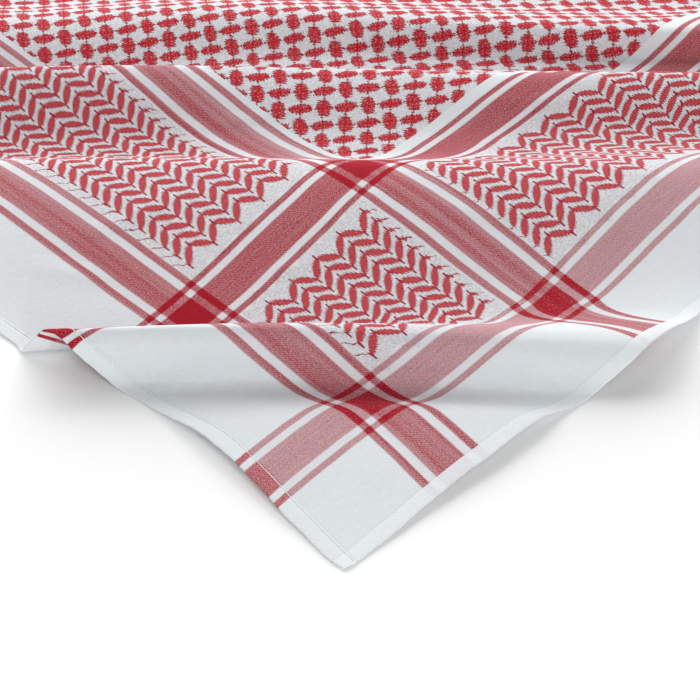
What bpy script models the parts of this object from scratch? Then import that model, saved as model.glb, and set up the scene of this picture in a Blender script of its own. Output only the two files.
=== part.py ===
"""Keffiyeh: one square head cloth laid on a table, a corner toward the viewer, in soft cross folds.

Metres, +Z up, the table is z = 0. +X is the viewer's right and +Y is away from the viewer.
Cloth coordinates: u runs along the front right edge and v along the front left edge, both from the
front corner. s = (u - v) / sqrt 2 runs to the right and d = (u + v) / sqrt 2 runs away from the viewer.
"""

import math
from collections import namedtuple

import bpy
import numpy as np

SIDE = 1.400  # finished side of the square
HEM = 0.0140  # turned and stitched hem, on the u = 0 and u = SIDE edges
SELVEDGE = 0.0130  # woven edge strip, on the v = 0 and v = SIDE edges
SEAM = 0.00035
PANEL_THICK = 0.0012
HEM_THICK = 0.0020
SELVEDGE_THICK = 0.0015

REACH = 0.360  # left and right heights in the table hold at s = -REACH and +REACH, and beyond
TILT_AT = 0.300  # a line's slant is taken between s = -TILT_AT and +TILT_AT
YAW = 0.022  # turn of the front corner on the table, radians
TURN_R = 0.003  # inner radius of the two turns of the tuck behind the third crest
HEEL = 0.60  # where the heel of the tuck stands, as a share of the strip's run
COLUMN = 0.072  # spacing of the columns of points
ORIGIN = (0.0180, 0.9024)  # middle of the finished box, seen from above

# One row per crest or foot line, front to back, in millimetres.
# arc: cloth length from the front corner, on the centre. skew, bow: how much farther back the line
# lies at the right, and at both sides. left, mid, right: height above the table.
# lean: sideways give of the cloth up to the next line. spread, swing: how much farther out the line
# lies at both sides, and how much farther right, where the cloth gives on the bias.
# rows: points up to the next line. tuck: share of the cloth up to the next line that is folded
# under, mid and right minus mid.
Fold = namedtuple("Fold", "name arc skew bow left mid right lean spread swing rows tuck")
FOLDS = [
    # name      arc   skew  bow   left mid  right lean spread swing rows tuck
    Fold("front", 0, 0, 0, 0, 0, 0, 17.5, -19, 16, 12, None),
    Fold("crest 0", 142, 18.5, -40, 1.5, 11.5, 3.5, -0.5, -6, -2, 5, None),
    Fold("foot 0", 177, -10.5, -10.5, 0, 0, 0, 0, 8.5, 1.5, 1, None),
    Fold("rise 1", 185, -10.5, -10.5, 0, 0, 0, 5, 8.5, 1.5, 9, None),
    Fold("crest 1", 236, -14, -10.5, 46, 41.5, 27, 9, 8.5, 2, 11, None),
    Fold("foot 1", 304, 4.5, -8.5, 0, 0, 0, 6.5, -11, -3.5, 1, None),
    Fold("rise 2", 312, 4.5, -8.5, 0, 0, 0, 8.5, -11, -3.5, 11, None),
    Fold("crest 2", 468, -37, 6, 29.5, 36.5, 35.5, 15, 0, 1.5, 8, None),
    Fold("foot 2", 557.5, -15, 10, 0, 0, 0, 0, 2.5, -3, 1, None),
    Fold("rise 3", 569.5, -15, 10, 0, 0, 0, 12.5, 2.5, -3, 7, None),
    Fold("crest 3", 663.5, -32, -13.5, 38.5, 23.5, 29.5, 16.5, 13, 9, 0, (0.589, -0.093)),
    Fold("foot 3", 785, -31, -7, 0, 0, 0, 0, 5.5, 7, 1, None),
    Fold("rise 4", 805, -31, -7, 0, 0, 0, 7.5, 5.5, 7, 5, None),
    Fold("crest 4", 856.5, -58, -0.5, 21.5, 23, 26.5, -2, 6.5, 1, 6, None),
    Fold("foot 4", 953, -48, 0, 0, 0, 0, 0, 6.5, 1, 1, None),
    Fold("rise 5", 968, -48, 0, 0, 0, 0, 0, 6.5, 1, 5, None),
    Fold("crest 5", 1038, -40, 0, 18, 16, 15, 0, 3, 0, 5, None),
    Fold("foot 5", 1112, -34, 0, 0, 0, 0, 0, 0, 0, 1, None),
    Fold("rise 6", 1130, -34, 0, 0, 0, 0, 0, 0, 0, 5, None),
    Fold("crest 6", 1206, -28, 0, 13, 12, 12, 0, 0, 0, 5, None),
    Fold("foot 6", 1283, -22, 0, 0, 0, 0, 0, 0, 0, 8, None),
    Fold("back", 2010, 0, 0, 0, 0, 0, 0, 0, 0, 0, None),
]
TUCK_ROWS = (8, 11, 2, 11, 3)  # drop, heel turn, way forward, nose turn, way back

STEPS = (np.arange(48) + 0.5) / 48
SWELL_PARTS = 32  # parts into which a swell is divided to measure along it
HALVINGS = 36  # of the range in which a swell's run is looked for
EDGE_ROUNDS = 40  # rounds that bring a row's end onto an edge
NEAR_CORNER = 0.03  # a row nearer than this to a corner's row gives way to it
NEAR_END = 0.25  # share of a column's spacing that stays free at a row's ends
SHORTEST_ROW = 0.002
BEND_STEP = 0.0002  # distance over which the cloth's slope is taken


def across(s):
    """-1 at the left, 0 in the middle and 1 at the right, held beyond REACH."""
    return np.sin(np.clip(s / REACH, -1, 1) * math.pi / 2)


def swell_length(run, rise):
    """Length of a cosine swell of this run and rise."""
    slope = math.pi / 2 * rise / np.maximum(run, 1e-9)
    return run * np.sqrt(1 + (slope[..., None] * np.sin(math.pi * STEPS)) ** 2).mean(-1)


def swell_run(length, rise):
    """Run of the cosine swell that has this length and rise."""
    low, high = np.zeros_like(length), length.copy()
    for _ in range(HALVINGS):
        mid = (low + high) / 2
        long = swell_length(mid, rise) > length
        low, high = np.where(long, low, mid), np.where(long, mid, high)
    return (low + high) / 2


def line_at(fold, side):
    """Cloth length and height of one line, across the cloth."""
    arc = fold.arc + fold.skew * side + fold.bow * side**2
    high = fold.mid + (fold.right - fold.left) / 2 * side
    high = high + ((fold.left + fold.right) / 2 - fold.mid) * side**2
    return arc / 1000, high / 1000


def moved_out(fold, side):
    """How far to the right the line is moved by the cloth's give on the bias."""
    return (fold.spread * side + fold.swing * side**2) / 1000


def stretch(fold):
    """How wide the cloth lies along the line, as a share of its flat width, for each of SIDES."""
    per_metre = math.pi / 2 / REACH * np.sqrt(1 - SIDES**2)
    return 1 + (fold.spread + 2 * fold.swing * SIDES) / 1000 * per_metre


SIDES = np.linspace(-1, 1, 161)


def runs():
    """Slant of each strip, and its cloth length and its run on the table for each of SIDES."""
    out = []
    tilt = across(TILT_AT)
    for fold, after in zip(FOLDS, FOLDS[1:]):
        (arc0, high0), (arc1, high1) = line_at(fold, SIDES), line_at(after, SIDES)
        slant = math.atan2(line_at(fold, tilt)[0] - line_at(fold, -tilt)[0], 2 * TILT_AT)
        # Woven cloth that is wider along the folds is shorter across them by as much.
        wide = (stretch(fold) + stretch(after)) / 2
        kept = (arc1 - arc0) * np.sqrt(2 - wide**2)
        if fold.tuck:
            kept = kept * (1 - fold.tuck[0] - fold.tuck[1] * SIDES)
        out.append((slant, kept, swell_run(kept * math.cos(slant), np.abs(high1 - high0))))
    return out


RUNS = runs()


def fold_lines(s):
    """Each line's cloth length, height and place at these columns, with each strip's direction and run."""
    s = np.concatenate([s, [-TILT_AT, TILT_AT]])
    side = across(s)
    arc, high = np.array([line_at(fold, side) for fold in FOLDS]).transpose(1, 0, 2)
    ex, ey = math.cos(YAW), math.sin(YAW)
    first = s + moved_out(FOLDS[0], side)
    x, y = [first * ex], [first * ey]
    strips = []
    for i, (slant, kept, run) in enumerate(RUNS):
        run = np.interp(side, SIDES, run)
        shift = np.interp(side, SIDES, kept) * math.sin(slant) + FOLDS[i].lean / 1000
        shift = shift + moved_out(FOLDS[i + 1], side) - moved_out(FOLDS[i], side)
        strips.append((ex, ey, shift, run))
        x.append(x[i] + shift * ex - run * ey)
        y.append(y[i] + shift * ey + run * ex)
        dx, dy = x[-1][-1] - x[-1][-2], y[-1][-1] - y[-1][-2]
        ex, ey = dx / math.hypot(dx, dy), dy / math.hypot(dx, dy)
    return arc[:, :-2], high[:, :-2], np.array(x)[:, :-2], np.array(y)[:, :-2], strips


def tuck_parts(length, run, top):
    """Lengths of the drop, heel turn, way forward, nose turn and way back of a tuck."""
    heel = HEEL * run
    drop = swell_length(heel, np.maximum(top - 4 * TURN_R, 0.001))
    turn = math.pi * TURN_R * np.ones_like(run)
    under = (length - drop - 2 * turn - (run - heel)) / 2
    return drop, turn, under, turn, under + run - heel


def breaks(s):
    """Cloth length at each line, and at the turns of the tuck, for these columns."""
    arc, high, _, _, strips = fold_lines(s)
    out = []
    for i, fold in enumerate(FOLDS):
        out.append(arc[i])
        if fold.tuck:
            parts = tuck_parts(arc[i + 1] - arc[i], strips[i][3][:-2], high[i])
            out.extend(arc[i] + np.cumsum(parts[:4], axis=0))
    return np.array(out)


def along_swell(part, rise_over_run):
    """Share of a swell's run that is reached at this share of its length."""
    t = np.linspace(0, 1, SWELL_PARTS + 1)
    rate = np.sqrt(1 + (math.pi / 2 * rise_over_run[:, None] * np.sin(math.pi * t)) ** 2)
    gone = np.zeros_like(rate)
    gone[:, 1:] = np.cumsum((rate[:, 1:] + rate[:, :-1]) / 2, 1)
    gone /= gone[:, -1:]
    part = np.clip(part, 0, 1)
    j = np.clip((gone <= part[:, None]).sum(1) - 1, 0, SWELL_PARTS - 1)
    n = np.arange(part.size)
    return (j + (part - gone[n, j]) / (gone[n, j + 1] - gone[n, j])) / SWELL_PARTS


def place(s, d):
    """Underside of the cloth at these cloth coordinates."""
    s, d = np.broadcast_arrays(np.asarray(s, float), np.asarray(d, float))
    shape, s, d = s.shape, s.ravel(), d.ravel()
    arc, high, lx, ly, strips = fold_lines(s)
    out = np.zeros((3, s.size))
    strip = np.clip((d[None] >= arc).sum(0) - 1, 0, len(FOLDS) - 2)
    for i in np.unique(strip):
        k = np.nonzero(strip == i)[0]
        ex, ey, shift, run = strips[i]
        shift, run = shift[:-2][k], run[:-2][k]
        length = arc[i + 1][k] - arc[i][k]
        a = d[k] - arc[i][k]
        z0, z1 = high[i][k], high[i + 1][k]
        if FOLDS[i].tuck:
            go, z = tuck_place(a, length, run, z0)
        else:
            t = along_swell(a / length, (z1 - z0) / run)
            go, z = t * run, z0 + (z1 - z0) * (1 - np.cos(math.pi * t)) / 2
        out[0, k] = lx[i][k] + go * (shift / run * ex - ey) - ORIGIN[0]
        out[1, k] = ly[i][k] + go * (shift / run * ey + ex) - ORIGIN[1]
        out[2, k] = z
    return out.reshape((3,) + shape)


def tuck_place(a, length, run, top):
    """Where a point lies along the tuck: how far back from the crest, and how high."""
    drop, turn, under, _, _ = tuck_parts(length, run, top)
    heel, foot = HEEL * run, 4 * TURN_R
    fall = np.maximum(top - foot, 0.001)
    t = along_swell(a / drop, fall / heel)
    go, z = t * heel, foot + fall * (1 + np.cos(math.pi * t)) / 2
    b = a - drop
    w = np.clip(b / turn, 0, 1) * math.pi
    on = b > 0
    go = np.where(on, heel + TURN_R * np.sin(w), go)
    z = np.where(on, foot - TURN_R + TURN_R * np.cos(w), z)
    b = b - turn
    on = b > 0
    go = np.where(on, heel - np.minimum(b, under), go)
    z = np.where(on, foot - 2 * TURN_R, z)
    b = b - under
    w = np.clip(b / turn, 0, 1) * math.pi
    on = b > 0
    go = np.where(on, heel - under - TURN_R * np.sin(w), go)
    z = np.where(on, foot - 3 * TURN_R + TURN_R * np.cos(w), z)
    b = b - turn
    on = b > 0
    go = np.where(on, heel - under + b, go)
    return go, np.where(on, 0.0, z)


def facing(s, d):
    """Unit normal of the cloth, away from the underside."""
    e = BEND_STEP
    along = place(s + e, d) - place(s - e, d)
    back = place(s, d + e) - place(s, d - e)
    n = np.cross(along.T, back.T).T
    return n / np.linalg.norm(n, axis=0)


def row_of(s, d):
    """Row number, with its fraction, of one cloth point."""
    b = breaks(np.array([s]))[:, 0]
    i = int(np.clip(np.searchsorted(b, d, side="right") - 1, 0, len(b) - 2))
    return i + (d - b[i]) / (b[i + 1] - b[i])


def depth_of(rows, s):
    """Cloth length d of these rows, each at its own column."""
    b = breaks(s)
    i = np.minimum(rows.astype(int), len(b) - 2)
    n = np.arange(s.size)
    return b[i, n] + (rows - i) * (b[i + 1, n] - b[i, n])


def edge_of(rows, *edges):
    """Columns where these rows meet each edge line. An edge is (constant, sign of d)."""
    ends = []
    for constant, sign in edges:
        s = np.zeros(len(rows))
        for _ in range(EDGE_ROUNDS):
            s = constant + sign * depth_of(rows, s)
        ends.append(s)
    return ends


def all_rows(corners):
    """Row numbers shared by every piece: the table's rows, and those that pass through a corner."""
    rows, i = [], 0
    for fold in FOLDS[:-1]:
        for count in TUCK_ROWS if fold.tuck else (fold.rows,):
            rows.extend(i + k / count for k in range(count))
            i += 1
    rows.append(float(i))
    rows = [r for r in rows if all(abs(r - c) > NEAR_CORNER for c in corners)]
    return sorted(rows + corners)


ROOT2 = math.sqrt(2)


def corner_rows(u0, u1, v0, v1):
    return [
        row_of((u - v) / ROOT2, (u + v) / ROOT2)
        for u, v in ((u0, v0), (u0, v1), (u1, v0), (u1, v1))
    ]


def piece(name, u0, u1, v0, v1, thick, column, rows):
    """One closed solid over the cloth rectangle u0..u1, v0..v1."""
    first, _, _, last = corner_rows(u0, u1, v0, v1)
    rows = np.array([r for r in rows if first - 1e-9 < r < last + 1e-9])
    left = np.maximum(*edge_of(rows, (ROOT2 * u0, -1), (-ROOT2 * v1, 1)))
    right = np.minimum(*edge_of(rows, (-ROOT2 * v0, 1), (ROOT2 * u1, -1)))
    lines = []
    for row, lo, hi in zip(rows, left, right):
        s = [lo, hi]
        if row in (rows[0], rows[-1]):
            s = [(lo + hi) / 2]
        elif hi - lo < SHORTEST_ROW:
            continue
        k = range(math.ceil(lo / column), math.floor(hi / column) + 1)
        free = NEAR_END * column
        s[1:1] = [i * column for i in k if free < i * column - lo < hi - lo - free]
        s = np.array(s)
        lines.append((s, depth_of(np.full(s.size, row), s)))
    s = np.concatenate([line[0] for line in lines])
    d = np.concatenate([line[1] for line in lines])
    under = place(s, d)
    over = under + facing(s, d) * thick
    count = s.size
    start = np.cumsum([0] + [line[0].size for line in lines])
    faces = []
    for k in range(len(lines) - 1):
        a, b = lines[k][0], lines[k + 1][0]
        i = j = 0
        while i < a.size - 1 or j < b.size - 1:
            if j == b.size - 1 or (i < a.size - 1 and a[i + 1] < b[j + 1]):
                tri = (start[k] + i, start[k] + i + 1, start[k + 1] + j)
                i += 1
            else:
                tri = (start[k] + i, start[k + 1] + j + 1, start[k + 1] + j)
                j += 1
            faces.append(tri)
    rim = list(range(start[0], start[1]))
    rim += [start[k + 1] - 1 for k in range(1, len(lines))]
    rim += list(range(start[-1] - 2, start[-2] - 1, -1))
    rim += [start[k] for k in range(len(lines) - 2, 0, -1)]
    shell = [tuple(int(i) + count for i in f) for f in faces]
    shell += [tuple(int(i) for i in f[::-1]) for f in faces]
    for p, q in zip(rim, rim[1:] + rim[:1]):
        # The two sides of a seam are split along the same slant, front and low to back and high.
        p, q = int(p), int(q)
        if q > p:
            shell += [(p, q, q + count), (p, q + count, p + count)]
        else:
            shell += [(p, q, p + count), (q, q + count, p + count)]
    mesh = bpy.data.meshes.new(name)
    mesh.from_pydata(np.concatenate([under.T, over.T]).tolist(), [], shell)
    mesh.validate()
    obj = bpy.data.objects.new(name, mesh)
    bpy.context.scene.collection.objects.link(obj)
    return obj


def cotton(name, colour):
    material = bpy.data.materials.new(name)
    material.use_nodes = True
    shader = material.node_tree.nodes["Principled BSDF"]
    shader.inputs["Base Color"].default_value = colour
    shader.inputs["Roughness"].default_value = 0.9
    shader.inputs["Metallic"].default_value = 0.0
    return material


for old in list(bpy.data.objects):
    bpy.data.objects.remove(old)

inner_u = (HEM + SEAM, SIDE - HEM - SEAM)
inner_v = (SELVEDGE + SEAM, SIDE - SELVEDGE - SEAM)
whole = (0.0, SIDE)
NO_COLUMNS = 2 * SIDE  # a strip has points along its two long sides only
woven = cotton("red_and_white_cotton", (0.74, 0.45, 0.47, 1.0))
turned = cotton("hem_cotton", (0.80, 0.74, 0.75, 1.0))
close_woven = cotton("selvedge_cotton", (0.84, 0.83, 0.84, 1.0))
PIECES = [
    # name, range of u, range of v, thickness, columns, material
    ("cloth_panel", inner_u, inner_v, PANEL_THICK, COLUMN, woven),
    ("hem_front_left", (0.0, HEM), whole, HEM_THICK, NO_COLUMNS, turned),
    ("hem_back_right", (SIDE - HEM, SIDE), whole, HEM_THICK, NO_COLUMNS, turned),
    ("selvedge_front_right", inner_u, (0.0, SELVEDGE), SELVEDGE_THICK, NO_COLUMNS, close_woven),
    ("selvedge_back_left", inner_u, (SIDE - SELVEDGE, SIDE), SELVEDGE_THICK, NO_COLUMNS, close_woven),
]
corners = sorted({round(r, 9) for p in PIECES for r in corner_rows(*p[1], *p[2])})
rows = all_rows(corners)
for name, (u0, u1), (v0, v1), thick, column, material in PIECES:
    piece(name, u0, u1, v0, v1, thick, column, rows).data.materials.append(material)
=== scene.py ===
"""Keffiyeh: a square head cloth of red and white cotton, laid in soft cross folds, a corner forward.

Metres. The frame's +X runs to the right along the folds, +Y runs from the front corner to the back
corner, and the cloth lies on z = 0. Cloth coordinates are measured on the flat cloth: u runs along the
front right edge and v along the front left edge, both from the front corner. s = (u - v) / sqrt 2 runs
to the right and d = (u + v) / sqrt 2 runs to the back corner.
"""

import math
from collections import namedtuple

import bmesh
import bpy
import numpy as np
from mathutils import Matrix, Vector


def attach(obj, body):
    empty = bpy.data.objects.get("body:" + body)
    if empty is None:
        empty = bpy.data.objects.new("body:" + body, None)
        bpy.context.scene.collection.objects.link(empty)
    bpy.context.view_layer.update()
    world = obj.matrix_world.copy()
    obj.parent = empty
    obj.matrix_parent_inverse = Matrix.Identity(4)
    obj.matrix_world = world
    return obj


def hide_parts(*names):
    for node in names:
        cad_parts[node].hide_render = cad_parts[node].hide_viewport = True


ROOT2 = math.sqrt(2)

# The cut of the cloth.
SIDE = 1.400
HEM = 0.0140  # turned hem, on the u = 0 and u = SIDE edges, its width from the fit below
SELVEDGE = 0.0130  # close-woven edge, on the v = 0 and v = SIDE edges, its width from the fit below
CLOTH_THICK = 0.0007

# A strip's cross-section: millimetres from its inner edge, and above the underside of the cloth.
HEM_PROFILE = (
    (-0.15, 0.74), (0.5, 0.80), (1.1, 1.05), (1.9, 1.05), (2.8, 1.45), (4.5, 1.60), (8.0, 1.50),
    (11.8, 1.60), (13.2, 1.50), (13.8, 1.15), (14.0, 0.75), (13.8, 0.30), (13.3, 0.0), (7.0, 0.0),
    (-0.15, 0.0),
)
SELVEDGE_PROFILE = (
    (-0.15, 0.74), (0.8, 0.80), (1.8, 0.90), (5.0, 0.95), (9.0, 0.92), (11.8, 0.98), (12.6, 0.90),
    (12.95, 0.62), (12.95, 0.30), (12.6, 0.0), (6.0, 0.0), (-0.15, 0.0),
)
STITCH = 0.0024  # from one stitch to the next
STITCH_IN = 0.0015  # from the hem's inner edge to the stitches
STITCH_END = 0.002  # from the cloth's edge to the first and last stitch
STITCH_STEPS = 7  # points along one stitch
STITCH_LIFT, STITCH_ARCH = 0.0009, 0.00042  # height of the thread's lowest points, and its arch over them
STITCH_SLANT = 0.0003  # how far a stitch goes sideways
THREAD_HALF = 0.00042
THREAD_FLAT = 0.8  # height of the thread as a share of its width
THREAD_SIDES = 5
SHARP = math.radians(70)  # a strip's edges that turn more than this stay crisp
NEAR_CORNER = 0.001  # a strip's station nearer than this to its end gives way to it
BACK_STATIONS = 160  # rows of points along each edge at the back

# How it lies. Left and right heights in the table hold at s = -REACH and +REACH, and beyond.
REACH = 0.360
TILT_AT = 0.300  # a line's slant is taken between s = -TILT_AT and +TILT_AT
YAW = 0.022  # turn of the front corner on the table, radians, from the fit below
TURN_R = 0.003  # inner radius of the two turns of the tuck behind the third crest
HEEL = 0.60  # where the heel of the tuck stands, as a share of the strip's run
ORIGIN = (0.0180, 0.9024)  # middle of the finished box, seen from above

# One row per crest or foot line, front to back, in millimetres.
# arc: cloth length from the front corner, on the centre. skew, bow: how much farther back the line
# lies at the right, and at both sides. left, mid, right: height above the table.
# lean: sideways give of the cloth up to the next line. spread, swing: how much farther out the line
# lies at both sides, and how much farther right, where the cloth gives on the bias.
# rows: points up to the next line. tuck: share of the cloth up to the next line that is folded
# under, mid and right minus mid.
# The rows front to crest 4, apart from their counts of points, are the rounded result of a
# least-squares fit. The rows foot 4 to back are given one by one.
Fold = namedtuple("Fold", "name arc skew bow left mid right lean spread swing rows tuck")
FOLDS = [
    # name      arc   skew  bow   left mid  right lean spread swing rows tuck
    Fold("front", 0, 0, 0, 0, 0, 0, 17.5, -19, 16, 32, None),
    Fold("crest 0", 142, 18.5, -40, 1.5, 11.5, 3.5, -0.5, -6, -2, 14, None),
    Fold("foot 0", 177, -10.5, -10.5, 0, 0, 0, 0, 8.5, 1.5, 2, None),
    Fold("rise 1", 185, -10.5, -10.5, 0, 0, 0, 5, 8.5, 1.5, 18, None),
    Fold("crest 1", 236, -14, -10.5, 46, 41.5, 27, 9, 8.5, 2, 26, None),
    Fold("foot 1", 304, 4.5, -8.5, 0, 0, 0, 6.5, -11, -3.5, 3, None),
    Fold("rise 2", 312, 4.5, -8.5, 0, 0, 0, 8.5, -11, -3.5, 36, None),
    Fold("crest 2", 468, -37, 6, 29.5, 36.5, 35.5, 15, 0, 1.5, 28, None),
    Fold("foot 2", 557.5, -15, 10, 0, 0, 0, 0, 2.5, -3, 3, None),
    Fold("rise 3", 569.5, -15, 10, 0, 0, 0, 12.5, 2.5, -3, 24, None),
    Fold("crest 3", 663.5, -32, -13.5, 38.5, 23.5, 29.5, 16.5, 13, 9, 0, (0.589, -0.093)),
    Fold("foot 3", 785, -31, -7, 0, 0, 0, 0, 5.5, 7, 5, None),
    Fold("rise 4", 805, -31, -7, 0, 0, 0, 7.5, 5.5, 7, 14, None),
    Fold("crest 4", 856.5, -58, -0.5, 21.5, 23, 26.5, -2, 6.5, 1, 20, None),
    Fold("foot 4", 953, -48, 0, 0, 0, 0, 0, 6.5, 1, 3, None),
    Fold("rise 5", 968, -48, 0, 0, 0, 0, 0, 6.5, 1, 14, None),
    Fold("crest 5", 1038, -40, 0, 18, 16, 15, 0, 3, 0, 14, None),
    Fold("foot 5", 1112, -34, 0, 0, 0, 0, 0, 0, 0, 3, None),
    Fold("rise 6", 1130, -34, 0, 0, 0, 0, 0, 0, 0, 13, None),
    Fold("crest 6", 1206, -28, 0, 13, 12, 12, 0, 0, 0, 13, None),
    Fold("foot 6", 1283, -22, 0, 0, 0, 0, 0, 0, 0, 60, None),
    Fold("back", 2010, 0, 0, 0, 0, 0, 0, 0, 0, 0, None),
]
TUCK_ROWS = (16, 12, 10, 12, 14)  # drop, heel turn, way forward, nose turn, way back
COLUMN = 0.0085  # spacing of the cloth's points along the folds
EASE = 0.005  # reach along the cloth over which its tightest bends are eased
CREST_EASE, CREST_AT, CREST_REACH = 0.008, 0.230, 0.060  # more of it over the first high crest

# Soft creases in the laid cloth, in millimetres: where (s, d), half length, half width, height, and
# the turn of its length from the folds, in degrees.
Crease = namedtuple("Crease", "s d long wide high turn")
CREASES = [
    Crease(22, 92, 46, 15, 0.7, 58),
    Crease(-38, 118, 42, 11, 0.6, -22),
    Crease(-128, 196, 60, 14, 1.1, 24),
    Crease(-72, 214, 44, 9, 0.8, -12),
    Crease(118, 216, 52, 12, 0.9, -26),
    Crease(44, 268, 60, 10, 0.7, 6),
    Crease(-64, 372, 58, 13, 1.0, 18),
    Crease(86, 408, 62, 14, 1.2, -14),
    Crease(6, 436, 44, 10, 0.8, 30),
    Crease(-206, 436, 74, 15, 1.6, 26),
    Crease(-262, 380, 60, 12, 1.3, -18),
    Crease(226, 442, 64, 13, 1.5, -28),
    Crease(292, 396, 58, 14, 1.3, 12),
    Crease(-118, 612, 82, 11, 1.2, 9),
    Crease(152, 606, 74, 12, 1.3, -6),
    Crease(262, 640, 56, 13, 1.2, 22),
    Crease(-226, 642, 60, 12, 1.0, -20),
    Crease(14, 838, 92, 14, 1.4, 5),
    Crease(-210, 884, 70, 15, 1.3, 28),
    Crease(214, 892, 84, 13, 1.2, -16),
    Crease(-470, 860, 104, 24, 1.8, 34),
    Crease(-590, 1000, 80, 20, 1.5, -12),
    Crease(486, 936, 112, 22, 1.9, -30),
    Crease(622, 880, 76, 18, 1.5, 14),
    Crease(-92, 1248, 122, 24, 1.8, 12),
    Crease(208, 1392, 128, 22, 1.7, -22),
    Crease(-158, 1588, 112, 20, 1.6, 26),
    Crease(-330, 1330, 96, 22, 1.6, -34),
    Crease(366, 1180, 90, 20, 1.5, 8),
    Crease(62, 1784, 72, 16, 1.2, -10),
]

# The camera, placed from the front corner of the cloth, by the same fit.
AIM_RIGHT, AIM_BACK = 0.0054, 0.2320
CAMERA_RISE = math.radians(42.81)
CAMERA_AWAY = 1.2499
LENS = 79.49
FLOOR_GAP = 0.0004  # how far the floor is under the cloth
FLOOR_SIZE = 8
FLOOR_WHITE = (0.93, 0.93, 0.93, 1.0)

# Small faults of the edges.
SWAY, SWAY_DEEP = 0.00045, 0.018  # how far an edge sways, and how far in this dies out
BLUNT, BLUNT_REACH = 0.0032, 0.010  # how far a corner's tip is pulled in, and how far along


# --- the laid form -----------------------------------------------------------------------------


STEPS = (np.arange(48) + 0.5) / 48
SWELL_PARTS = 32  # parts into which a swell is divided to measure along it
HALVINGS = 36  # of the range in which a swell's run is looked for
EDGE_ROUNDS = 40  # rounds that bring a row's end onto an edge
BEND_STEP = 0.0002  # distance over which the cloth's slope is taken


def across(s):
    """-1 at the left, 0 in the middle and 1 at the right, held beyond REACH."""
    return np.sin(np.clip(s / REACH, -1, 1) * math.pi / 2)


def swell_length(run, rise):
    """Length of a cosine swell of this run and rise."""
    slope = math.pi / 2 * rise / np.maximum(run, 1e-9)
    return run * np.sqrt(1 + (slope[..., None] * np.sin(math.pi * STEPS)) ** 2).mean(-1)


def swell_run(length, rise):
    """Run of the cosine swell that has this length and rise."""
    low, high = np.zeros_like(length), length.copy()
    for _ in range(HALVINGS):
        mid = (low + high) / 2
        long = swell_length(mid, rise) > length
        low, high = np.where(long, low, mid), np.where(long, mid, high)
    return (low + high) / 2


def line_at(fold, side):
    """Cloth length and height of one line, across the cloth."""
    arc = fold.arc + fold.skew * side + fold.bow * side**2
    high = fold.mid + (fold.right - fold.left) / 2 * side
    high = high + ((fold.left + fold.right) / 2 - fold.mid) * side**2
    return arc / 1000, high / 1000


def moved_out(fold, side):
    """How far to the right the line is moved by the cloth's give on the bias."""
    return (fold.spread * side + fold.swing * side**2) / 1000


def stretch(fold):
    """How wide the cloth lies along the line, as a share of its flat width, for each of SIDES."""
    per_metre = math.pi / 2 / REACH * np.sqrt(1 - SIDES**2)
    return 1 + (fold.spread + 2 * fold.swing * SIDES) / 1000 * per_metre


SIDES = np.linspace(-1, 1, 161)


def runs():
    """Slant of each strip, and its cloth length and its run on the table for each of SIDES."""
    out = []
    tilt = across(TILT_AT)
    for fold, after in zip(FOLDS, FOLDS[1:]):
        (arc0, high0), (arc1, high1) = line_at(fold, SIDES), line_at(after, SIDES)
        slant = math.atan2(line_at(fold, tilt)[0] - line_at(fold, -tilt)[0], 2 * TILT_AT)
        # Woven cloth that is wider along the folds is shorter across them by as much.
        wide = (stretch(fold) + stretch(after)) / 2
        kept = (arc1 - arc0) * np.sqrt(2 - wide**2)
        if fold.tuck:
            kept = kept * (1 - fold.tuck[0] - fold.tuck[1] * SIDES)
        out.append((slant, kept, swell_run(kept * math.cos(slant), np.abs(high1 - high0))))
    return out


RUNS = runs()


def fold_lines(s):
    """Each line's cloth length, height and place at these columns, with each strip's direction and run."""
    s = np.concatenate([s, [-TILT_AT, TILT_AT]])
    side = across(s)
    arc, high = np.array([line_at(fold, side) for fold in FOLDS]).transpose(1, 0, 2)
    ex, ey = math.cos(YAW), math.sin(YAW)
    first = s + moved_out(FOLDS[0], side)
    x, y = [first * ex], [first * ey]
    strips = []
    for i, (slant, kept, run) in enumerate(RUNS):
        run = np.interp(side, SIDES, run)
        shift = np.interp(side, SIDES, kept) * math.sin(slant) + FOLDS[i].lean / 1000
        shift = shift + moved_out(FOLDS[i + 1], side) - moved_out(FOLDS[i], side)
        strips.append((ex, ey, shift, run))
        x.append(x[i] + shift * ex - run * ey)
        y.append(y[i] + shift * ey + run * ex)
        dx, dy = x[-1][-1] - x[-1][-2], y[-1][-1] - y[-1][-2]
        ex, ey = dx / math.hypot(dx, dy), dy / math.hypot(dx, dy)
    return arc[:, :-2], high[:, :-2], np.array(x)[:, :-2], np.array(y)[:, :-2], strips


def tuck_parts(length, run, top):
    """Lengths of the drop, heel turn, way forward, nose turn and way back of a tuck."""
    heel = HEEL * run
    drop = swell_length(heel, np.maximum(top - 4 * TURN_R, 0.001))
    turn = math.pi * TURN_R * np.ones_like(run)
    under = (length - drop - 2 * turn - (run - heel)) / 2
    return drop, turn, under, turn, under + run - heel


def breaks(s):
    """Cloth length at each line, and at the turns of the tuck, for these columns."""
    arc, high, _, _, strips = fold_lines(s)
    out = []
    for i, fold in enumerate(FOLDS):
        out.append(arc[i])
        if fold.tuck:
            parts = tuck_parts(arc[i + 1] - arc[i], strips[i][3][:-2], high[i])
            out.extend(arc[i] + np.cumsum(parts[:4], axis=0))
    return np.array(out)


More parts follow.
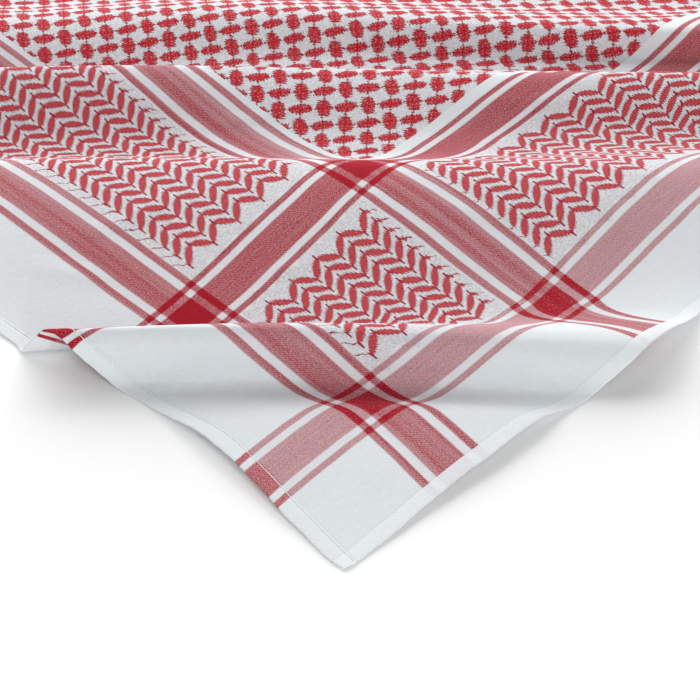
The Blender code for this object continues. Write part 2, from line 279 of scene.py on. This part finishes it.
def along_swell(part, rise_over_run):
    """Share of a swell's run that is reached at this share of its length."""
    t = np.linspace(0, 1, SWELL_PARTS + 1)
    rate = np.sqrt(1 + (math.pi / 2 * rise_over_run[:, None] * np.sin(math.pi * t)) ** 2)
    gone = np.zeros_like(rate)
    gone[:, 1:] = np.cumsum((rate[:, 1:] + rate[:, :-1]) / 2, 1)
    gone /= gone[:, -1:]
    part = np.clip(part, 0, 1)
    j = np.clip((gone <= part[:, None]).sum(1) - 1, 0, SWELL_PARTS - 1)
    n = np.arange(part.size)
    return (j + (part - gone[n, j]) / (gone[n, j + 1] - gone[n, j])) / SWELL_PARTS


def tuck_place(a, length, run, top):
    """Where a point lies along the tuck: how far back from the crest, and how high."""
    drop, turn, under, _, _ = tuck_parts(length, run, top)
    heel, foot = HEEL * run, 4 * TURN_R
    fall = np.maximum(top - foot, 0.001)
    t = along_swell(a / drop, fall / heel)
    go, z = t * heel, foot + fall * (1 + np.cos(math.pi * t)) / 2
    b = a - drop
    w = np.clip(b / turn, 0, 1) * math.pi
    on = b > 0
    go = np.where(on, heel + TURN_R * np.sin(w), go)
    z = np.where(on, foot - TURN_R + TURN_R * np.cos(w), z)
    b = b - turn
    on = b > 0
    go = np.where(on, heel - np.minimum(b, under), go)
    z = np.where(on, foot - 2 * TURN_R, z)
    b = b - under
    w = np.clip(b / turn, 0, 1) * math.pi
    on = b > 0
    go = np.where(on, heel - under - TURN_R * np.sin(w), go)
    z = np.where(on, foot - 3 * TURN_R + TURN_R * np.cos(w), z)
    b = b - turn
    on = b > 0
    go = np.where(on, heel - under + b, go)
    return go, np.where(on, 0.0, z)


def place(s, d):
    """Underside of the cloth at these cloth coordinates."""
    s, d = np.broadcast_arrays(np.asarray(s, float), np.asarray(d, float))
    shape, s, d = s.shape, s.ravel(), d.ravel()
    arc, high, lx, ly, strips = fold_lines(s)
    out = np.zeros((3, s.size))
    strip = np.clip((d[None] >= arc).sum(0) - 1, 0, len(FOLDS) - 2)
    for i in np.unique(strip):
        k = np.nonzero(strip == i)[0]
        ex, ey, shift, run = strips[i]
        shift, run = shift[:-2][k], run[:-2][k]
        length = arc[i + 1][k] - arc[i][k]
        a = d[k] - arc[i][k]
        z0, z1 = high[i][k], high[i + 1][k]
        if FOLDS[i].tuck:
            go, z = tuck_place(a, length, run, z0)
        else:
            t = along_swell(a / length, (z1 - z0) / run)
            go, z = t * run, z0 + (z1 - z0) * (1 - np.cos(math.pi * t)) / 2
        out[0, k] = lx[i][k] + go * (shift / run * ex - ey) - ORIGIN[0]
        out[1, k] = ly[i][k] + go * (shift / run * ey + ex) - ORIGIN[1]
        out[2, k] = z
    return out.reshape((3,) + shape)


def laid(s, d):
    """Where the cloth lies, with its tightest bends a little rounder than the plain folds have them."""
    reach = EASE + CREST_EASE * np.exp(-(((d - CREST_AT) / CREST_REACH) ** 2))
    reach = np.minimum(reach, d)
    return place(s, d) / 2 + (place(s, d - reach) + place(s, d + reach)) / 4


def facing(s, d):
    """Unit normal of the cloth, away from the underside."""
    along = laid(s + BEND_STEP, d) - laid(s - BEND_STEP, d)
    back = laid(s, d + BEND_STEP) - laid(s, d - BEND_STEP)
    n = np.cross(along.T, back.T).T
    return n / np.linalg.norm(n, axis=0)


def crease_lift(s, d):
    """How much the creases raise the cloth here."""
    lift = np.zeros_like(s)
    for crease in CREASES:
        turn = math.radians(crease.turn)
        right, back = s - crease.s / 1000, d - crease.d / 1000
        along = (right * math.cos(turn) + back * math.sin(turn)) / (crease.long / 1000)
        beside = (back * math.cos(turn) - right * math.sin(turn)) / (crease.wide / 1000)
        beside = beside - 0.25 * along**2
        off = np.minimum(np.sqrt(along**2 + beside**2), 1)
        lift += crease.high / 1000 * (1 + np.cos(math.pi * off)) / 2
    return lift


def edge_sway(along, near, phase):
    """Small sway of an edge in the plane of the cloth, dying out inwards."""
    sway = np.sin(along * 61 + phase) + 0.6 * np.sin(along * 137 + 2.1 * phase)
    sway = sway + 0.35 * np.sin(along * 411 + 3.7 * phase)
    return SWAY * sway * np.exp(-near / SWAY_DEEP)


def settled(u, v):
    """Where these cloth points have crept to: the edges sway a little and the corners are blunt."""
    out_u, out_v = u.copy(), v.copy()
    out_u += edge_sway(v, u, 0.4) - edge_sway(v, SIDE - u, 2.9)
    out_v += edge_sway(u, v, 1.7) - edge_sway(u, SIDE - v, 4.1)
    for far_u in (0, 1):
        for far_v in (0, 1):
            off = abs(u - far_u * SIDE) + abs(v - far_v * SIDE)
            pull = BLUNT * np.exp(-((off / BLUNT_REACH) ** 1.5))
            out_u += pull * (1 - 2 * far_u)
            out_v += pull * (1 - 2 * far_v)
    return out_u, out_v


def depth_of(rows, s):
    """Cloth length d of these rows, each at its own column."""
    b = breaks(s)
    i = np.minimum(rows.astype(int), len(b) - 2)
    n = np.arange(s.size)
    return b[i, n] + (rows - i) * (b[i + 1, n] - b[i, n])


def fine_rows():
    """Row numbers of the cloth's points, front to back: dense where it turns, sparse where it is flat."""
    rows, i = [], 0
    for fold in FOLDS[:-1]:
        for count in TUCK_ROWS if fold.tuck else (fold.rows,):
            rows.extend(i + k / count for k in range(count))
            i += 1
    return np.array(rows + [float(i)])


# --- meshes ------------------------------------------------------------------------------------


def finish_piece(bm, name, material):
    mesh = bpy.data.meshes.new(name)
    bm.to_mesh(mesh)
    bm.free()
    mesh.shade_smooth()
    piece = bpy.data.objects.new(name, mesh)
    bpy.context.scene.collection.objects.link(piece)
    mesh.materials.append(material)
    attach(piece, "root")
    return piece


def lay_on(bm, u, v, lift):
    """Moves a bmesh's points, in order, to these cloth coordinates and heights above the underside."""
    crept_u, crept_v = settled(u, v)
    s, d = (crept_u - crept_v) / ROOT2, (crept_u + crept_v) / ROOT2
    points = laid(s, d) + facing(s, d) * (lift + crease_lift(s, d))
    for vert, point in zip(bm.verts, points.T):
        vert.co = point
    layer = bm.loops.layers.uv.new("cloth")
    for face in bm.faces:
        for loop in face.loops:
            loop[layer].uv = (u[loop.vert.index], v[loop.vert.index])


def woven_square(material):
    """The cloth inside its hems and selvedges: a grid along the folds, cut to the square and laid."""
    rows = fine_rows()
    half = math.ceil(SIDE / ROOT2 / COLUMN)
    bm = bmesh.new()
    bmesh.ops.create_grid(bm, x_segments=2 * half, y_segments=len(rows) - 1, size=1)
    x = np.array([v.co.x for v in bm.verts]) * half * COLUMN
    k = np.array([round((v.co.y + 1) / 2 * (len(rows) - 1)) for v in bm.verts])
    for vert, s, d in zip(bm.verts, x, depth_of(rows[k], x)):
        vert.co = (s, d, 0)
    for line, outward in (
        ((HEM * ROOT2, 0, 0), (-1, -1, 0)),
        (((SIDE - HEM) * ROOT2, 0, 0), (1, 1, 0)),
        ((-SELVEDGE * ROOT2, 0, 0), (1, -1, 0)),
        ((-(SIDE - SELVEDGE) * ROOT2, 0, 0), (-1, 1, 0)),
    ):
        bmesh.ops.bisect_plane(
            bm, geom=bm.verts[:] + bm.edges[:] + bm.faces[:], plane_co=line,
            plane_no=outward, clear_outer=True, dist=1e-6,
        )
    for edge in bm.edges:
        edge.smooth = not edge.is_boundary
    bm.verts.index_update()
    s = np.array([v.co.x for v in bm.verts])
    d = np.array([v.co.y for v in bm.verts])
    lay_on(bm, (s + d) / ROOT2, (d - s) / ROOT2, 0.0)
    piece = finish_piece(bm, "woven_square", material)
    shell = piece.modifiers.new("thickness", "SOLIDIFY")
    shell.thickness = CLOTH_THICK
    shell.offset = 1
    return piece


def edge_stations(sign):
    """Distances along an edge through the front corner at which a row of the cloth's points meets it."""
    rows = fine_rows()
    s = np.zeros(len(rows))
    for _ in range(EDGE_ROUNDS):
        s = sign * depth_of(rows, s)
    return depth_of(rows, s) * ROOT2


def grid_along(along, around):
    """A grid around columns wide and one row per station, with each point's column and station."""
    bm = bmesh.new()
    bmesh.ops.create_grid(bm, x_segments=around, y_segments=len(along) - 1, size=1)
    column = np.array([round((v.co.x + 1) / 2 * around) for v in bm.verts])
    station = np.array([round((v.co.y + 1) / 2 * (len(along) - 1)) for v in bm.verts])
    bm.verts.index_update()
    return bm, column, np.array(along)[station]


def close_tube(bm):
    bmesh.ops.remove_doubles(bm, verts=bm.verts, dist=1e-7)
    bmesh.ops.holes_fill(bm, edges=[e for e in bm.edges if e.is_boundary], sides=0)
    bmesh.ops.recalc_face_normals(bm, faces=bm.faces)


def edge_strip(name, material, profile, inner, outer, fixed, along):
    """A strip along one edge. inner and outer are values of the cloth coordinate called fixed."""
    bm, column, along = grid_along(along, len(profile))
    inwards = np.array([p[0] for p in profile + profile[:1]]) / 1000
    high = np.array([p[1] for p in profile + profile[:1]]) / 1000
    across_strip = inner + np.sign(outer - inner) * inwards[column]
    if fixed == "u":
        lay_on(bm, across_strip, along, high[column])
    else:
        lay_on(bm, along, across_strip, high[column])
    close_tube(bm)
    for edge in bm.edges:
        edge.smooth = edge.calc_face_angle(0) < SHARP
    return finish_piece(bm, name, material)


def stitch_line(name, material, u, start, end):
    """One thread in running stitches along a hem: it arches over the cloth and dips between."""
    count = round((end - start) / STITCH)
    along = np.linspace(start, end, count * STITCH_STEPS + 1)
    bm, column, along = grid_along(along, THREAD_SIDES)
    turn = column / THREAD_SIDES * 2 * math.pi
    part = ((along - start) / STITCH) % 1.0
    arch = np.sin(math.pi * part) ** 0.4 * STITCH_ARCH
    slant = (part - 0.5) * STITCH_SLANT
    beside = u + slant + THREAD_HALF * np.cos(turn)
    lay_on(bm, beside, along, STITCH_LIFT + arch + THREAD_HALF * THREAD_FLAT * np.sin(turn))
    close_tube(bm)
    return finish_piece(bm, name, material)


# --- materials ---------------------------------------------------------------------------------


class Field:
    """A value that varies over the cloth, worked out by math nodes."""

    def __init__(self, tree, socket):
        self.tree, self.socket = tree, socket

    def node(self, operation, *others, clamp=False):
        made = self.tree.nodes.new("ShaderNodeMath")
        made.operation = operation
        made.use_clamp = clamp
        for slot, value in zip(made.inputs, (self, *others)):
            if isinstance(value, Field):
                self.tree.links.new(value.socket, slot)
            else:
                slot.default_value = value
        return Field(self.tree, made.outputs[0])

    def __add__(self, other):
        return self.node("ADD", other)

    def __sub__(self, other):
        return self.node("SUBTRACT", other)

    def __mul__(self, other):
        return self.node("MULTIPLY", other)

    def __truediv__(self, other):
        return self.node("DIVIDE", other)

    def __rsub__(self, other):
        return self.node("MULTIPLY_ADD", -1.0, other)

    __radd__ = __add__
    __rmul__ = __mul__

    def abs(self):
        return self.node("ABSOLUTE")

    def sin(self):
        return self.node("SINE")

    def round(self):
        return self.node("ROUND")

    def fract(self):
        return self.node("FRACT")

    def power(self, other):
        return self.node("POWER", other)

    def least(self, other):
        return self.node("MINIMUM", other)

    def most(self, other):
        return self.node("MAXIMUM", other)

    def over(self, edge, soft=0.5):
        """0 below the edge and 1 above it, with a soft step."""
        return ((self - edge) / soft).node("ADD", 0.5, clamp=True)

    def under(self, edge, soft=0.5):
        return 1 - self.over(edge, soft)

    def between(self, low, high, soft=0.5):
        return self.over(low, soft) * self.under(high, soft)

    def peaks(self, pitch):
        """A zigzag of this pitch, 0 at its multiples and 1 halfway."""
        return ((self / pitch).fract() - 0.5).abs() * -2 + 1


def noise(across_field, along_field, scale, detail=2.0):
    """Smooth noise from -0.5 to 0.5 over two fields, with about scale bumps to the millimetre."""
    tree = across_field.tree
    point = tree.nodes.new("ShaderNodeCombineXYZ")
    tree.links.new(across_field.socket, point.inputs[0])
    tree.links.new(along_field.socket, point.inputs[1])
    made = tree.nodes.new("ShaderNodeTexNoise")
    made.noise_dimensions = "2D"
    made.inputs["Scale"].default_value = scale
    made.inputs["Detail"].default_value = detail
    tree.links.new(point.outputs[0], made.inputs["Vector"])
    return Field(tree, made.outputs["Fac"]) - 0.5


# The woven pattern, in millimetres from the edges. Each band is a wide stripe between two thin ones.
# dense: how thickly its red yarns cover the white, for the outer and the inner band. Where the bands
# start comes from the same fit as the folds.
Band = namedtuple("Band", "starts width wide_half thin dense")
ACROSS_V = Band((79.5, 313.0), 55.6, 15.4, 5.8, (0.60, 0.84))
ACROSS_U = Band((89.5, 303.5), 56.0, 14.0, 6.8, (0.75, 0.76))
PINK_ACROSS_U = ((89.0, 146.0), (303.0, 360.0))  # where red yarns show through the bands' ground
PINK_ACROSS_V = ((79.0, 136.0), (312.5, 369.0))


def stripes(x, sway, band):
    """How red the stripes are of the two bands across this coordinate, and 0 between them."""
    first, second = (start + band.width / 2 for start in band.starts)
    off = (x - first + sway).abs().least((x - second + sway).abs())
    outer = band.width / 2
    red = off.under(band.wide_half, 1.3) + off.between(outer - band.thin, outer, 1.2)
    inner = x.over((first + second) / 2)
    return red * (inner * (band.dense[1] - band.dense[0]) + band.dense[0])


ZIG = 30.2  # one chevron along u
ROW = 14.1  # from one row of chevrons to the next
ZIG_TALL = 12.0
FIRST_TROUGH = 155.8
FIRST_PEAK = 158.5
LAST_PEAK = FIRST_TROUGH + 4.5 * ZIG
SIDE_FIELD = 363.8  # near_u where the rows of the side fields start
# Where the middle and far fields start, each with the distance that takes it back to the first one.
FIELDS_ALONG_U = (331.0, 207.2, 1069.0, 951.0)
FIELDS_ALONG_V = (341.0, 235.5, 1059.0, 952.0)


def in_its_field(x, middle_from, middle_shift, far_from, far_shift):
    """The coordinate shifted so that each field's rows start where the first one's do."""
    middle = x.over(middle_from, 0.01)
    far = x.over(far_from, 0.01)
    return x - middle * middle_shift - far * (far_shift - middle_shift), middle * (1 - far)


def herringbone(u, v, near_u):
    """Rows of leaf-shaped dashes in chevrons, with a tick at each point, in the fields round the middle."""
    moved_u, u_middle = in_its_field(u, *FIELDS_ALONG_U)
    moved_v, v_middle = in_its_field(v, *FIELDS_ALONG_V)
    uneven = noise(u, v, 0.02) * 4.0
    turn = ((moved_u - FIRST_TROUGH + uneven) / ZIG).fract()
    down = (turn - 0.5).abs() * 2  # 0 at a peak and 1 at a trough
    raised = moved_v - FIRST_PEAK + down.power(1.22) * ZIG_TALL + uneven * 0.5
    pitch = v_middle * 0.25 + ROW
    row = (raised / pitch).round()
    off = raised - row * pitch
    ragged = ((u * 0.9 + v * 0.2).peaks(1.8) - 0.5) * 2.6 + noise(u, v, 0.60, 1.0) * 3.0
    bulge = (down * math.pi).sin().most(0.0).power(0.75)
    past_last = moved_u.over(LAST_PEAK, 0.5) * (1 - u_middle)
    half = bulge * (3.3 - past_last * 1.6) + 1.2
    reach = off.abs() + ragged - half
    leaf, rim = reach.under(0.0, 0.5), reach.between(-1.1, 0.5, 0.5)
    tick_up = (down * (ZIG / 2) + noise(v, u, 0.5, 1.0) * 0.6).under(0.85) * off.between(0.0, 6.8)
    tick_down = ((1 - down) * (ZIG / 2)).under(0.85) * off.between(-6.8, 0.0)
    ticks = tick_up.most(tick_down)
    narrow_u = moved_u * (1 - u_middle)
    in_rows = row.between(-0.5, v_middle * 33.0 + 10.5, 0.01) * (1 - u_middle * v_middle)
    room = narrow_u.between(154.8, LAST_PEAK + 3.6).most(near_u.over(SIDE_FIELD) * u_middle) * in_rows
    # Loose ends: a thin wandering thread before the first dash of each row and after the last.
    stray = noise(u, v, 0.20) * 7.0
    thread = (off + stray).abs().under(0.65)
    ends = narrow_u.between(LAST_PEAK + 3.0, 300.5).most(narrow_u.between(146.0, 155.5))
    ends = ends.most(near_u.between(360.3, 364.0) * u_middle)
    field = (1 - u_middle * v_middle) * row.between(-1.2, v_middle * 33.0 + 11.2, 0.4)
    field = field * narrow_u.between(147.0, 302.0, 3.0).most(near_u.over(361.0, 3.0) * u_middle)
    return leaf * room, (ticks * room).most(thread * ends * in_rows), rim * room, field


# The net's spacing and start, in millimetres, come from the same fit too.
NET = 20.6  # from one dash of the net to the next
NET_START = (-6.0, 537.0)  # s and d of one crossing
NET_EDGE_U, NET_EDGE_V, THREAD_EDGE_V = 366.0, 382.0, 384.0  # where the dashes and threads start


def fishnet(s, d, near_u, near_v):
    """Upright and level dashes by turns, joined by thin wandering threads."""
    uneven = noise(s, d, 0.03) * 3.0
    x = (s - NET_START[0] + uneven) / NET
    y = (d - NET_START[1] - uneven) / NET
    column, row = x.round(), y.round()
    right, back = (x - column) * NET, (y - row) * NET
    level = (((column + row) * 0.5).fract() * 2).over(0.5, 0.01)
    upright = 1 - level
    along = (back - right * 0.10) * upright + (right + back * 0.12) * level
    beside = (right + back * 0.16) * upright + (back - right * 0.10) * level
    threads = (along + beside * 0.35).peaks(3.0) - 0.5
    ragged = noise(s, d, 0.25) * 4.2 + threads * 2.0
    half_long, half_short = upright * 0.2 + 9.6, upright * 0.8 + 4.8
    off = ((along.abs() / half_long).power(2.6) + (beside.abs() / half_short).power(2.6)).power(0.385)
    reach = off * 6.0 + ragged
    dash, rim = reach.under(6.2, 0.4), reach.between(5.2, 6.9, 0.5)
    speckle = (noise(s * 0.8, d, 0.7, 1.0) + threads * 0.12).under(-0.15, 0.06)
    dash = dash * (1 - speckle * 0.45)
    sway = noise(s, d, 0.16) * 4.5 + ((s + d).peaks(3.9) - 0.5) * 2.0
    thread = (back + sway).abs().least((right + sway).abs()).under(0.85)
    room = near_u.over(NET_EDGE_U) * near_v.over(NET_EDGE_V)
    thread = thread * near_u.over(NET_EDGE_U) * near_v.over(THREAD_EDGE_V)
    return dash * room, thread, rim * room, room


# Base colours of the yarns, as Blender's linear values.
WHITE_YARN = (0.670, 0.700, 0.722, 1.0)
STRIPE_RED = (0.350, 0.005, 0.018, 1.0)
DASH_RED = (0.500, 0.010, 0.020, 1.0)
THREAD_RED = (0.300, 0.008, 0.030, 1.0)
BACK_PINK = (0.560, 0.340, 0.390, 1.0)  # the red yarn behind the white ground
STITCH_WHITE = (0.80, 0.81, 0.82, 1.0)


def mix_colour(share, low, high):
    tree = share.tree
    made = tree.nodes.new("ShaderNodeMix")
    made.data_type = "RGBA"
    colours = [socket for socket in made.inputs if socket.type == "RGBA"]
    for socket, value in zip(colours, (low, high)):
        if isinstance(value, tuple):
            socket.default_value = value
        else:
            tree.links.new(value, socket)
    tree.links.new(share.socket, made.inputs[0])
    return [socket for socket in made.outputs if socket.type == "RGBA"][0]


def plain_finish(name, **values):
    """A new material, with these values of its Principled shader."""
    material = bpy.data.materials.new(name)
    material.use_nodes = True
    shader = material.node_tree.nodes["Principled BSDF"]
    for socket, value in values.items():
        shader.inputs[socket.replace("_", " ")].default_value = value
    return material, shader


def cloth_fields(tree):
    """u and v on the flat cloth, in millimetres."""
    spot = tree.nodes.new("ShaderNodeUVMap")
    spot.uv_map = "cloth"
    parts = tree.nodes.new("ShaderNodeSeparateXYZ")
    tree.links.new(spot.outputs[0], parts.inputs[0])
    return Field(tree, parts.outputs[0]) * 1000.0, Field(tree, parts.outputs[1]) * 1000.0


def tone(shader, colour, shade):
    """Gives the shader this colour, made lighter or darker by shade."""
    tree = shade.tree
    toned = tree.nodes.new("ShaderNodeVectorMath")
    toned.operation = "SCALE"
    if isinstance(colour, tuple):
        toned.inputs[0].default_value = colour[:3]
    else:
        tree.links.new(colour, toned.inputs[0])
    tree.links.new(shade.socket, toned.inputs["Scale"])
    tree.links.new(toned.outputs[0], shader.inputs["Base Color"])


def raise_bump(shader, height, strength, distance):
    bump = height.tree.nodes.new("ShaderNodeBump")
    bump.inputs["Strength"].default_value = strength
    bump.inputs["Distance"].default_value = distance
    height.tree.links.new(height.socket, bump.inputs["Height"])
    height.tree.links.new(bump.outputs[0], shader.inputs["Normal"])


def woven_cotton():
    """Red and white cotton with its whole pattern, over the cloth's own coordinates."""
    material, shader = plain_finish(
        "woven_cotton", Roughness=0.9, Sheen_Weight=0.03, Specular_IOR_Level=0.1
    )
    tree = material.node_tree
    u, v = cloth_fields(tree)
    middle = SIDE * 1000 / 2
    near_u = middle - (u - middle).abs()
    near_v = middle - (v - middle).abs()
    s, d = (u - v) / ROOT2, (u + v) / ROOT2

    # The two sets of bands: even twill across v, and streaky yarns across u.
    in_hem = near_u.under(HEM * 1000)
    in_selvedge = near_v.under(SELVEDGE * 1000, 0.8)
    weft = stripes(near_v, noise(u, v * 0.05, 0.02) * 1.6, ACROSS_V)
    weft = weft * (noise(u * 0.04, v, 0.45) * 0.24 + in_hem * 0.34 + 1.0)
    warp = stripes(near_u, noise(u * 0.05, v, 0.02) * 1.6, ACROSS_U)
    streaks = noise(u, v * 0.010, 0.13) * 0.55 + noise(u, v * 0.02, 0.5) * 0.25
    worn = noise(u * 0.6, v * 0.25, 0.02) * 0.15
    warp = (warp * (streaks + worn + 1.0)).least(0.95)
    warp = warp * (1 - in_selvedge * 0.90)
    both = warp * weft
    twill = (u + v).peaks(2.6) - 0.5
    grain = noise(u, v, 0.65)
    fine = noise(u, v, 1.3, 1.0)
    stripe = 1 - (1 - warp) * (1 - weft)
    stripe = (stripe * (twill * 0.22 + grain * 0.6 + fine * 0.8 + 1.0) + both * 0.45).least(1.0)

    chevrons, ends, chevron_rims, chevron_field = herringbone(u, v, near_u)
    dashes, threads, dash_rims, net_field = fishnet(s, d, near_u, near_v)
    hatch = ((s + noise(s, d, 0.2) * 2.0).peaks(1.7) * 0.5 + fine * 0.9).most(0.0)
    worked = (chevrons * 0.95).most(dashes) * (1 - hatch * 0.16)
    rims = chevron_rims.most(dash_rims) * 0.65
    thin = ends.most(threads) * 0.95

    field = chevron_field.most(net_field)
    outer, inner = (near_u.between(low, high, 2.0) for low, high in PINK_ACROSS_U)
    banded = outer.most(inner)
    for low, high in PINK_ACROSS_V:
        banded = banded.most(near_v.between(low, high, 2.0))
    banded = banded * (0.7 - in_selvedge * 0.7)
    behind = field.most(banded) * (noise(u, v, 0.12) * 0.24 + grain * 0.45 + fine * 0.4 + 0.13)
    behind = behind.most(0.0)
    ground = mix_colour(behind, WHITE_YARN, BACK_PINK)
    ground = mix_colour(stripe, ground, STRIPE_RED)
    ground = mix_colour(thin, ground, THREAD_RED)
    ground = mix_colour(worked, ground, DASH_RED)
    ground = mix_colour(rims, ground, THREAD_RED)

    crepe = noise(u * 0.5, v, 0.22)
    mottled = noise(u, v, 0.42)
    shade = twill * (stripe * 0.06 + 0.03) + grain * (worked * 0.55 + field * 0.16 + 0.08)
    shade = shade + fine * (worked * 0.5 + field * 0.42 + 0.06) + crepe * 0.05
    # Painted shade: a thin darker line on the cloth just beside the hem and the selvedge, where their
    # raised step shades it. The hem and selvedge themselves are a little lighter.
    hem_step_shade = near_u.between(HEM * 1000, HEM * 1000 + 1.6, 0.8)
    selvedge_step_shade = near_v.between(SELVEDGE * 1000, SELVEDGE * 1000 + 1.4, 0.8)
    edges = in_hem * 0.05 + in_selvedge * 0.07 - hem_step_shade.most(selvedge_step_shade) * 0.05
    shade = shade + mottled * (field * 0.62 + stripe * 0.20)
    shade = shade + edges + 1.02 - both * 0.06 - field * 0.07
    tone(shader, ground, shade)
    raise_bump(shader, twill * 0.3 + grain * 0.6 + worked * 0.8 + crepe * 1.5, 0.7, 0.0003)
    return material


def stitch_thread():
    """White sewing thread with its twist as fine slanting ridges."""
    material, shader = plain_finish("stitch_thread", Roughness=0.7, Sheen_Weight=0.1)
    u, v = cloth_fields(material.node_tree)
    twist = (u * 2.0 + v).peaks(0.5)
    tone(shader, STITCH_WHITE, twist * 0.12 + noise(u, v, 0.4) * 0.1 + 0.92)
    raise_bump(shader, twist, 0.6, 0.0001)
    return material


def pale_floor():
    material, _ = plain_finish(
        "pale_floor", Base_Color=FLOOR_WHITE, Roughness=1.0, Specular_IOR_Level=0.0
    )
    bm = bmesh.new()
    bmesh.ops.create_grid(bm, x_segments=1, y_segments=1, size=FLOOR_SIZE)
    bmesh.ops.translate(bm, verts=bm.verts, vec=(0, 0, -FLOOR_GAP))
    mesh = bpy.data.meshes.new("floor")
    bm.to_mesh(mesh)
    bm.free()
    mesh.materials.append(material)
    floor = bpy.data.objects.new("floor", mesh)
    bpy.context.scene.collection.objects.link(floor)


# --- light and camera --------------------------------------------------------------------------


ROOM_LIGHT = 0.05
SOFTBOX_AWAY = 4.0
SOFTBOX_WATTS = math.pi**2 * SOFTBOX_AWAY**2  # lights a white floor to white from straight above
LIT = Vector((0.0, -0.45, 0.0))  # what the softboxes point at
SOFTBOXES = (
    # name, degrees round from the front to the right, degrees above the table, size, strength
    ("softbox_front_low", 22, 22, 2.6, 0.54),
    ("softbox_front_high", 10, 50, 3.7, 0.32),
    ("softbox_behind", 170, 27, 3.5, 1.06),
    ("softbox_behind_left", 222, 27, 3.5, 1.04),
)


def studio():
    world = bpy.data.worlds.new("studio")
    bpy.context.scene.world = world
    world.use_nodes = True
    world.node_tree.nodes["Background"].inputs[0].default_value = (1, 1, 1, 1)
    world.node_tree.nodes["Background"].inputs[1].default_value = ROOM_LIGHT
    for name, round_from_front, above, size, strength in SOFTBOXES:
        light = bpy.data.lights.new(name, "AREA")
        light.size = size
        light.energy = SOFTBOX_WATTS * strength
        lamp = bpy.data.objects.new(name, light)
        turn, rise = math.radians(round_from_front), math.radians(above)
        away = Vector((math.sin(turn), -math.cos(turn), 0)) * math.cos(rise)
        away.z = math.sin(rise)
        lamp.location = LIT + away * SOFTBOX_AWAY
        lamp.rotation_euler = (-away).to_track_quat("-Z", "Y").to_euler()
        lamp.visible_camera = False
        bpy.context.scene.collection.objects.link(lamp)


def camera(front_corner):
    aim = front_corner + Vector((AIM_RIGHT, AIM_BACK, 0))
    away = Vector((0, -math.cos(CAMERA_RISE), math.sin(CAMERA_RISE))) * CAMERA_AWAY
    lens = bpy.data.cameras.new("camera")
    lens.lens = LENS
    lens.sensor_width = 36
    lens.clip_start = 0.01
    seen = bpy.data.objects.new("camera", lens)
    seen.location = aim + away
    seen.rotation_euler = (-away).to_track_quat("-Z", "Y").to_euler()
    bpy.context.scene.collection.objects.link(seen)
    bpy.context.scene.camera = seen


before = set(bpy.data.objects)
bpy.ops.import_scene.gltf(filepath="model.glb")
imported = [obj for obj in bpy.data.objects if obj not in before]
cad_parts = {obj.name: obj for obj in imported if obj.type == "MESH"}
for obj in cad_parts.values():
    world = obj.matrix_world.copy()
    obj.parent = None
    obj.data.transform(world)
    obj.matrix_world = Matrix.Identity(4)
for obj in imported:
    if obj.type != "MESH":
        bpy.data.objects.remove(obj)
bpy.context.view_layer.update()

cotton = woven_cotton()
thread = stitch_thread()
square = woven_square(cotton)
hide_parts("cloth_panel")

left_edge = edge_stations(-1)
left_edge = left_edge[(left_edge >= 0) & (left_edge < SIDE - NEAR_CORNER)]
left_edge = np.concatenate([left_edge, [SIDE]])
far_hem, far_selvedge = SIDE - HEM, SIDE - SELVEDGE
right_edge = edge_stations(1)
right_edge = right_edge[(right_edge > HEM + NEAR_CORNER) & (right_edge < far_hem - NEAR_CORNER)]
right_edge = np.concatenate([[HEM], right_edge, [far_hem]])
back = np.linspace(0, SIDE, BACK_STATIONS)
back_in = np.linspace(HEM, far_hem, BACK_STATIONS)
strips = [
    edge_strip("hem_front_left_turned", cotton, HEM_PROFILE, HEM, 0.0, "u", left_edge),
    edge_strip("hem_back_right_turned", cotton, HEM_PROFILE, far_hem, SIDE, "u", back),
    edge_strip(
        "selvedge_front_right_woven", cotton, SELVEDGE_PROFILE, SELVEDGE, 0.0, "v",
        right_edge,
    ),
    edge_strip(
        "selvedge_back_left_woven", cotton, SELVEDGE_PROFILE, far_selvedge, SIDE, "v",
        back_in,
    ),
]
for strip, node in zip(
    strips, ("hem_front_left", "hem_back_right", "selvedge_front_right", "selvedge_back_left")
):
    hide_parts(node)
stitches = [
    stitch_line("stitches_front_left", thread, HEM - STITCH_IN, STITCH_END, SIDE - STITCH_END),
    stitch_line("stitches_back_right", thread, far_hem + STITCH_IN, STITCH_END, SIDE - STITCH_END),
]

pale_floor()
studio()
camera(Vector(place(0.0, 0.0)))
bpy.context.scene.view_settings.view_transform = "Standard"
